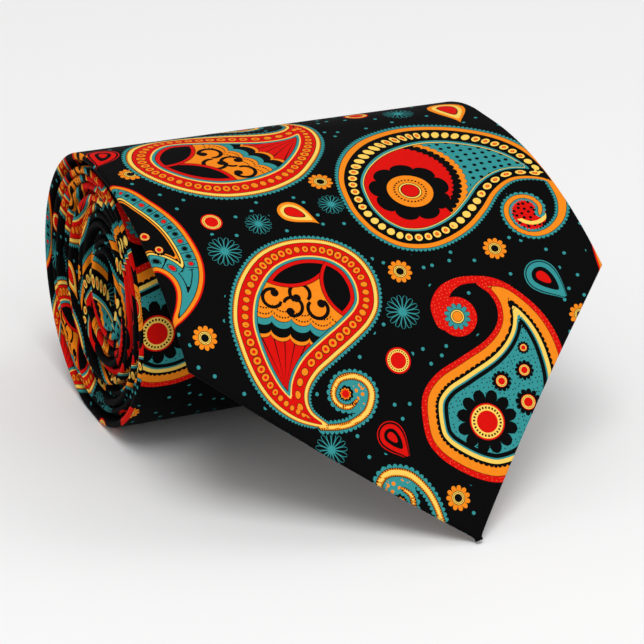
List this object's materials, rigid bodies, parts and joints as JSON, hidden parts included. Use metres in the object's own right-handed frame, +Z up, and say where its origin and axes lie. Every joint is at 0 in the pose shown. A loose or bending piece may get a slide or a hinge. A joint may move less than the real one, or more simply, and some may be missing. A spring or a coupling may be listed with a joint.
{
  "type": "rolled necktie",
  "caption": "Wide pointed printed necktie, rolled up on its side, with the blade coming off the top of the roll and resting its point on the floor.",
  "frame": {"origin": "on the floor under the roll's axis, on the flattened strip of the roll that rests there", "axes": "+X along the roll's axis away from its flush end, -Y towards the blade's point, +Z up from the floor"},
  "size_m": [0.1023, 0.1184, 0.0629],
  "materials": {
    "printed_shell": "matt satin twill, printed",
    "interlining": "brushed wool blend",
    "tipping": "plain satin lining",
    "thread": "spun polyester",
    "label": "woven ribbon, blank"
  },
  "bodies": {
    "roll": {"blade_shell": "printed_shell", "neck_shell": "printed_shell", "tail_shell": "printed_shell", "interlining": "interlining", "blade_tipping": "tipping", "tail_tipping": "tipping", "slip_stitch_thread": "thread", "blade_bar_tack": "thread", "tail_bar_tack": "thread", "woven_label": "label", "keeper_loop": "printed_shell", "care_tag": "label"},
    "free_blade": {"blade_tip_shell": "printed_shell", "blade_tip_interlining": "interlining", "blade_tip_tipping": "tipping"}
  },
  "joints": [
    {"name": "blade_lift", "type": "hinge", "parent": "roll", "child": "free_blade", "pos_m": [0, 0, 0.06288], "axis": [-1, 0, 0], "range_deg": [0, 60]}
  ]
}
